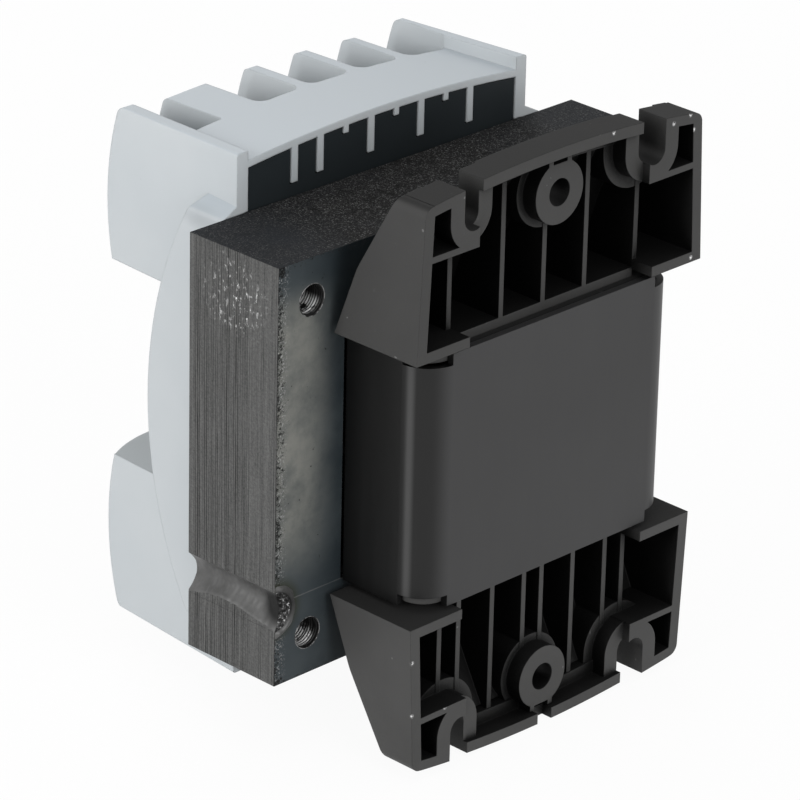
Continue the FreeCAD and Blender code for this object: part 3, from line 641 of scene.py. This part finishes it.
# %% The edges of the punched holes
def punched_edge_finish():
    """A dark wall, a painted highlight on one ring of each sheet along its lower side, and a bright
    burr.
    """
    finish = Finish("punched_edge")
    cloud = finish.noise(1500.0, 3.0, 0.7)
    broken = finish.noise(650.0, 2.0, 0.6).ramp(0.36, 0.52)
    painted_ring_highlight = off_middle(*sheet_count(finish, 0.0)).ramp(0.25, 0.75)
    within = 1.0 - finish.past("Y", -20.4, -19.4)
    low = finish.facing("Z").ramp(0.05, 0.60)
    burr = finish.past("Y", -18.96, -18.92)
    # Painted highlight: a bright ring for each sheet, only on the upward faces of the hole's lower
    # side.
    colour = finish.mix(within * low * painted_ring_highlight * broken, grey(0.006), grey(0.70))
    colour = finish.mix(burr * cloud.ramp(0.40, 0.60), colour, grey(0.26))
    finish.set(Base_Color=colour, Roughness=0.30 + 0.3 * cloud, Metallic=0.5)
    return finish.relief(cloud, depth=0.03)


punched = punched_edge_finish()
print("made", punched.material.name)


# %% Plating, brass and copper
ZINC, DULL_ZINC = (0.66, 0.67, 0.68, 1), (0.50, 0.51, 0.53, 1)
TINNED_BRASS, DULL_BRASS = (0.70, 0.66, 0.50, 1), (0.56, 0.52, 0.38, 1)
DARK_COPPER, PALE_COPPER = (0.30, 0.11, 0.04, 1), (0.48, 0.20, 0.08, 1)
PAINTED_SHADE_BETWEEN_TURNS = (0.004, 0.003, 0.002, 1)


def plated_finish(name, colour, dull, rough):
    finish = Finish(name)
    cloud = finish.noise(420.0, 4.0)
    brushed = finish.drawn_noise((9000.0, 900.0, 9000.0), 3.0, 0.7)
    finish.set(Base_Color=finish.mix(cloud, dull, colour), Roughness=rough + 0.18 * brushed)
    finish.set(Metallic=1.0)
    return finish.relief(brushed, depth=0.008, edge=0.15)


def winding_finish():
    finish = Finish("copper_turns")
    turns = finish.node("ShaderNodeTexWave", {"bands_direction": "Z"},
                        {"Vector": finish.coords, "Scale": 420.0})
    cloud = finish.noise(200.0, 3.0)
    # Painted shade: where the Ambient Occlusion node finds little open air, the copper is mixed
    # towards near black.
    air = finish.open_air(6.0).ramp(0.35, 0.9)
    wire = finish.mix(air, PAINTED_SHADE_BETWEEN_TURNS, finish.mix(cloud, DARK_COPPER, PALE_COPPER))
    finish.set(Base_Color=wire, Roughness=0.25 + 0.1 * cloud, Metallic=0.6)
    return finish.relief(turns + cloud * 0.2, depth=0.2)


plating = plated_finish("zinc_plating", ZINC, DULL_ZINC, rough=0.24)
brass = plated_finish("tinned_brass_strip", TINNED_BRASS, DULL_BRASS, rough=0.26)
copper = winding_finish()
print("made", [metal.material.name for metal in (plating, brass, copper)])

# %% [markdown]
# ## Dress the solids
#
# Each solid names a material slot in the imported record, and the finishes go on by that name.
# The carriers share the slot of the other black mouldings, but are a darker, cooler black, so
# they are picked by their names.

# %% Put the finishes on the solids
FINISH_OF_SLOT = {
    "core_steel": core, "weld_metal": weld, "black_plastic": black, "cover_plastic": cover,
    "grey_plastic": housing, "copper_wire": copper, "plated_steel": plating,
    "tinned_brass": brass,
}
for part in frame["record"]["subparts"]:
    solid = nodes[part["node"]]
    is_carrier = part["node"].endswith("terminal_carrier")
    finish = carrier if is_carrier else FINISH_OF_SLOT[part["material_slot"]]
    solid.data.materials.clear()
    solid.data.materials.append(finish.material)

# %% [markdown]
# ## Surfaces from rows of points
#
# Beads, craters and rings are all skins that bend, so one function is enough for them: it takes
# rows of points and fills the squares between them. The alternative is to sculpt, but rows of
# points keep every size known, and the same rows can be made again for the other side.

# %% A skin through rows of points
def skin(name, rows, finishes, pick=None, loop=False):
    """A mesh through a grid of points in millimetres; `pick` gives each square its finish."""
    wide = len(rows[0])
    points = [tuple(c * MM for c in point) for row in rows for point in row]
    faces, slots = [], []
    for i in range(len(rows) - 1):
        for j in range(wide if loop else wide - 1):
            k = (j + 1) % wide
            faces.append((i * wide + j, i * wide + k, (i + 1) * wide + k, (i + 1) * wide + j))
            slots.append(pick(rows[i][j]) if pick else 0)
    mesh = bpy.data.meshes.new(name)
    mesh.from_pydata(points, [], faces)
    for finish in finishes:
        mesh.materials.append(finish.material)
    mesh.polygons.foreach_set("material_index", slots)
    mesh.polygons.foreach_set("use_smooth", [True] * len(faces))
    piece = bpy.data.objects.new(name, mesh)
    scene.collection.objects.link(piece)
    return piece


print("skins follow rows of points")

# %% Several skins as one piece
WELD_DISTANCE = 0.004 * MM


def joined(name, pieces):
    """Several meshes as one, with the meeting points welded and the normals turned outwards."""
    bm = bmesh.new()
    materials = []
    for piece in pieces:
        first_slot, first_face = len(materials), len(bm.faces)
        materials += list(piece.data.materials)
        bm.from_mesh(piece.data)
        bm.faces.ensure_lookup_table()
        for face in bm.faces[first_face:]:
            face.material_index += first_slot
        bpy.data.objects.remove(piece)
    bmesh.ops.remove_doubles(bm, verts=bm.verts, dist=WELD_DISTANCE)
    bmesh.ops.recalc_face_normals(bm, faces=bm.faces)
    mesh = bpy.data.meshes.new(name)
    bm.to_mesh(mesh)
    bm.free()
    for material in materials:
        mesh.materials.append(material)
    whole = bpy.data.objects.new(name, mesh)
    scene.collection.objects.link(whole)
    return whole


def lumps(x, y, z, scale):
    """Smooth lumps from about -1 to 1, the same in every run."""
    return noise.noise(Vector((x, y, z)) * scale)


print("skins can be joined")

# %% [markdown]
# ## The weld beads
#
# The E sheets and the I sheets of the core are joined by one bead of weld on each side, drawn
# along a half-round groove. The bead is hollow, because the metal runs into the gaps, its lower
# edge wanders, and where the torch stopped it leaves a crater with a raised lip and a crust of
# slag. So the bead is a skin of rows along the groove, and the crater a second skin across its
# end, with the rim, the pit and the crust written as heights.

# %% The bead's lower edge and its hollow
CORE_SIDE, CORE_FRONT, CORE_BACK = 42.0, -38.4, -18.9
GROOVE_Z, GROOVE_RADIUS = -22.3, 3.35
BEAD_HOLLOW, HOLLOW_FADE = 1.8, 4.5
SUNK = 0.02  # edges lie this far under the steel, so that no gap shows
LOWER_EDGE = [(-38.4, -25.3), (-32.35, -23.95), (-27.81, -24.01), (-25.1, -24.46),
              (-21.95, -24.94), (-18.6, -25.6)]


def lower_edge(y):
    """Height of the bead's lower edge at a place along the groove."""
    for (y0, z0), (y1, z1) in zip(LOWER_EDGE, LOWER_EDGE[1:]):
        if y <= y1:
            part = (y - y0) / (y1 - y0)
            return z0 + (z1 - z0) * part + 0.22 * lumps(y, 0, 7, 1.3)
    return LOWER_EDGE[-1][1]


def bead_depth(y, z):
    """How far the bead's face lies inside the core's side; the hollow fades at the bead's end."""
    low, high = lower_edge(y), GROOVE_Z + GROOVE_RADIUS
    if z <= low:
        return SUNK
    part = (z - low) / (high - low)
    end = min(1.0, max(0.0, (CORE_BACK - y) / HOLLOW_FADE))
    hollow = BEAD_HOLLOW * 4 * part * (1 - part) * (0.45 + 0.55 * end * end * (3 - 2 * end))
    rough = 0.10 * lumps(2 * y, 9, z, 0.9) * min(1.0, 4 * part * (1 - part))
    return SUNK + hollow + rough


def groove_depth(z):
    return math.sqrt(max(0.0, GROOVE_RADIUS ** 2 - (z - GROOVE_Z) ** 2))


def face_depth(y, z):
    return min(bead_depth(y, z), groove_depth(z))


print("groove:", 2 * GROOVE_RADIUS, "mm wide, bead hollow by", BEAD_HOLLOW, "mm")

# %% The crater and its lip
LIP = [(3.28, -0.15), (3.45, 0.22), (3.70, 0.40), (4.00, 0.36), (4.25, 0.16), (4.42, -0.02)]
LIP_STEPS, CRATER_STEPS = 48, 24


def crater_height(part, around, z):
    """Height over the back sheet, from the bead's face (part 0) to the groove (part 1)."""
    rim = 0.36 * math.exp(-((part - 0.86) / 0.09) ** 2)
    pit = -1.2 * math.exp(-((part - 0.40) / 0.28) ** 2)
    crust = 0.55 * lumps(part * 5, z, 3, 1.3) + 0.35 * lumps(part * 11, z * 2, 5, 1.1)
    return (rim + pit + crust * (1 - part)) * around


def crater_rows(side, heights):
    """A skin across the bead's end."""
    rows = []
    for step in range(CRATER_STEPS + 1):
        part, row = step / CRATER_STEPS, []
        for z in heights:
            inner, outer = groove_depth(z), face_depth(CORE_BACK, z)
            around = 1 - abs((z - GROOVE_Z) / GROOVE_RADIUS) ** 3
            rise = crater_height(part, around, z) if 0 < step < CRATER_STEPS else 0.0
            x = CORE_SIDE - outer - (inner - outer) * part
            row.append((side * x, CORE_BACK + rise, z))
        rows.append(row)
    return rows


def lip_rows(side):
    """The raised lip that the melt left on the back sheet, round the crater."""
    rows = []
    for radius, rise in LIP:
        row = []
        for step in range(LIP_STEPS + 1):
            angle = math.pi * (0.5 + step / LIP_STEPS)
            across, up = math.cos(angle), math.sin(angle)
            reach = radius + (radius - LIP[0][0]) * 0.35 * lumps(across * 3, 2, up * 3, 0.8)
            height = rise * (0.8 + 0.5 * lumps(across * 4, radius, up * 4, 0.9))
            fade = min(1.0, 5 * abs(across))
            y = CORE_BACK + (height + SUNK) * fade - SUNK
            row.append((side * (CORE_SIDE + reach * across), y, GROOVE_Z + reach * up))
        rows.append(row)
    return rows


print("crater lip:", 2 * LIP[-1][0], "mm across")

# %% Both beads
HEIGHT_STEPS, LENGTH_STEPS = 44, 80


def bead_or_sheets(point):
    """The weld's finish, or the core's where the groove shows below the bead."""
    return 1 if point[2] < lower_edge(point[1]) - 0.25 else 0


def crust_or_rim(point):
    return 1 if point[1] > CORE_BACK + 0.12 else 0


def weld_piece(side, name):
    """One bead with its crater; side is 1 on the left and -1 on the right."""
    angles = [math.pi * (i / HEIGHT_STEPS - 0.5) for i in range(HEIGHT_STEPS + 1)]
    heights = [GROOVE_Z + GROOVE_RADIUS * math.sin(angle) for angle in angles]
    length = CORE_BACK - CORE_FRONT
    places = [CORE_FRONT + length * i / LENGTH_STEPS for i in range(LENGTH_STEPS + 1)]
    ends = (CORE_FRONT, CORE_BACK)
    face = [[(side * (CORE_SIDE - face_depth(y, z)), y, z) for z in heights] for y in places]
    root = [[(side * (CORE_SIDE - groove_depth(z)), y, z) for z in heights] for y in ends]
    bead = joined(name, [
        skin("face", face, [weld, core], bead_or_sheets),
        skin("root", root, [weld]),
        skin("front", [face[0], root[0]], [weld]),
        skin("crater", crater_rows(side, heights), [crater, weld], crust_or_rim),
        skin("lip", lip_rows(side), [weld]),
    ])
    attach(bead, "root")
    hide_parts("weld_seam_" + ("left" if side > 0 else "right"))
    return bead


beads = [weld_piece(1, "left_weld_bead"), weld_piece(-1, "right_weld_bead")]
print("beads:", [len(bead.data.polygons) for bead in beads], "faces")

# %% [markdown]
# ## Corner holes
#
# Two of the core's corner holes are seen, and light catches fine rings in them. Every sheet is
# punched on its own, so in the finished stack each hole is a little out of line with the next,
# and its cut edge shows as a ring. So the wall is a tube of rows, four to a sheet, and each
# sheet's rows are shifted a few hundredths of a millimetre. The punch left a thin bright burr
# round each mouth. The two hidden holes are made the same way.

# %% Circles of points
def circle(x, z, radius, y, steps=60):
    """A circle round a line along Y."""
    angles = [2 * math.pi * step / steps for step in range(steps)]
    return [(x + radius * math.cos(angle), y, z + radius * math.sin(angle)) for angle in angles]


print("a circle has", len(circle(0, 0, 1, 0)), "points")

# %% The rings of the punched sheets
HOLE_PLACES = [(35.0, 28.0), (-35.0, 28.0), (35.0, -28.0), (-35.0, -28.0)]
HOLE_RADIUS = 2.6
HOLE_SHIFT = 0.04
BURR = [(2.56, -0.25), (2.58, 0.01), (2.61, 0.05), (2.65, 0.04), (2.70, 0.003)]


def punched_rows(x, z):
    """Four rows for each sheet: its wall stands out a little between two shallow grooves."""
    shifts = random.Random(round(x + 3 * z))
    groove = HOLE_RADIUS - 0.01
    rows = []
    for number in range(int((CORE_BACK - CORE_FRONT) / SHEET)):
        back = CORE_BACK - SHEET * number - 0.04
        dx = shifts.uniform(-HOLE_SHIFT, HOLE_SHIFT)
        dz = shifts.uniform(-HOLE_SHIFT, HOLE_SHIFT)
        wall = HOLE_RADIUS - shifts.uniform(0.08, 0.15)
        rows += [circle(x, z, groove, back), circle(x + dx, z + dz, wall, back - 0.05),
                 circle(x + dx, z + dz, wall, back - 0.30), circle(x, z, groove, back - 0.42)]
    return rows


def burr_rows(x, z):
    rows = []
    for radius, rise in BURR:
        row = circle(x, z, radius, CORE_BACK)
        rows.append([(u, v + rise * (0.7 + 0.6 * lumps(x, u, w, 0.8)), w) for u, v, w in row])
    return rows


for number, (x, z) in enumerate(HOLE_PLACES, 1):
    rings = skin("rings", punched_rows(x, z), [punched], loop=True)
    burr = skin("burr", burr_rows(x, z), [punched], loop=True)
    hole = joined(f"corner_hole_rings_{number}", [rings, burr])
    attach(hole, "root")
    print(hole.name, len(hole.data.polygons), "faces")

# %% [markdown]
# ## Terminal screws
#
# Each terminal is closed by a slotted screw that pulls its clamp against the contact bar. The
# solids have only a head and a shank. A lathe would turn the real blank, so the head here is
# turned from a profile too, with a small chamfer on its rim, and the slot is then sawn by a
# boolean cutter.

# %% A saw for the slot
SCREW_FACE = -65.95
SAW_SIZE = (7.0, 2.0, 0.8)


def slot_saw(x, z, turn):
    bm = bmesh.new()
    bmesh.ops.create_cube(bm, size=1.0)
    bmesh.ops.scale(bm, vec=tuple(size * MM for size in SAW_SIZE), verts=bm.verts)
    bmesh.ops.rotate(bm, matrix=Matrix.Rotation(turn, 3, "Y"), verts=bm.verts)
    bmesh.ops.translate(bm, vec=Vector((x, SCREW_FACE, z)) * MM, verts=bm.verts)
    mesh = bpy.data.meshes.new("saw")
    bm.to_mesh(mesh)
    bm.free()
    saw = bpy.data.objects.new("saw", mesh)
    scene.collection.objects.link(saw)
    return saw


print("slots are", SAW_SIZE[2], "mm wide and", SAW_SIZE[1] / 2, "mm deep")

# %% Slotted heads
TERMINAL_X = [24.7, 8.8, -2.2, -13.2, -24.2]
TERMINAL_Z = {"upper": 26.55, "lower": -26.55}
SCREW_PROFILE = [(0.001, -65.85), (2.2, SCREW_FACE), (2.55, -65.8), (2.7, -65.5), (2.7, -64.3),
                 (2.6, -64.15), (1.5, -64.15), (1.5, -61.5), (1.35, -61.35), (0.001, -61.35)]


def screw_piece(row, number, x, z, turn):
    rings = [circle(x, z, radius, y, steps=40) for radius, y in SCREW_PROFILE]
    blank = skin("turned", rings, [plating], loop=True)
    screw = joined(f"{row}_slotted_screw_{number}", [blank])
    saw = slot_saw(x, z, turn)
    cut = screw.modifiers.new("slot", "BOOLEAN")
    cut.object, cut.operation, cut.solver = saw, "DIFFERENCE", "EXACT"
    bpy.context.view_layer.update()
    sawn = screw.evaluated_get(bpy.context.evaluated_depsgraph_get())
    solid = bpy.data.meshes.new_from_object(sawn)
    screw.modifiers.clear()
    screw.data = solid
    bpy.data.objects.remove(saw)
    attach(screw, "root")
    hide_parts(f"{row}_clamp_screw_{number}")
    return screw


turns = random.Random(5)
for row, z in TERMINAL_Z.items():
    screws = [screw_piece(row, i, x, z, turns.uniform(0, 3.1)) for i, x in enumerate(TERMINAL_X, 1)]
    print(row, "screws:", [len(screw.data.polygons) for screw in screws], "faces")

# %% [markdown]
# ## The floor
#
# The lamps and the world are tuned so that a colour renders about as it is written. The floor
# shows white to the camera and to reflections, and its share of plain diffuse keeps the shadow.

# %% A pale floor
FLOOR_WHITE = 0.94
FLOOR_CORNERS = [(-9, -9), (9, -9), (9, 9), (-9, 9)]
FLOOR_GAP = 0.2 * MM


def floor_finish():
    finish = Finish("white_table")
    finish.set(Base_Color=grey(0.86), Roughness=0.9)
    glow = finish.node("ShaderNodeEmission", None, {"Color": grey(1.0), "Strength": 1.0})
    plain = Signal(finish, finish.shader.outputs[0])
    white = finish.seen() * FLOOR_WHITE
    mixed = finish.node("ShaderNodeMixShader", None, {0: white, 1: plain, 2: glow})
    finish.feed(finish.tree.nodes["Material Output"].inputs["Surface"], mixed)
    return finish


floor_z = cad_low[2] - FLOOR_GAP
floor_mesh = bpy.data.meshes.new("floor")
floor_mesh.from_pydata([(x, y, floor_z) for x, y in FLOOR_CORNERS], [], [(0, 1, 2, 3)])
floor_mesh.materials.append(floor_finish().material)
floor = bpy.data.objects.new("floor", floor_mesh)
scene.collection.objects.link(floor)
floor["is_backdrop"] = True
print("floor at", round(floor_z / MM, 1), "mm")

# %% [markdown]
# ## The sizes
#
# The dressed model keeps the size of the solids. Both boxes are measured, and how far the
# dressed model has grown past the solids' box is printed.

# %% Print how far the model has grown
new_low, new_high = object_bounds()
grown = [max(a - b, d - c) / MM for a, b, c, d in zip(cad_low, new_low, cad_high, new_high)]
print("grown by, in mm:", [round(size, 2) for size in grown])
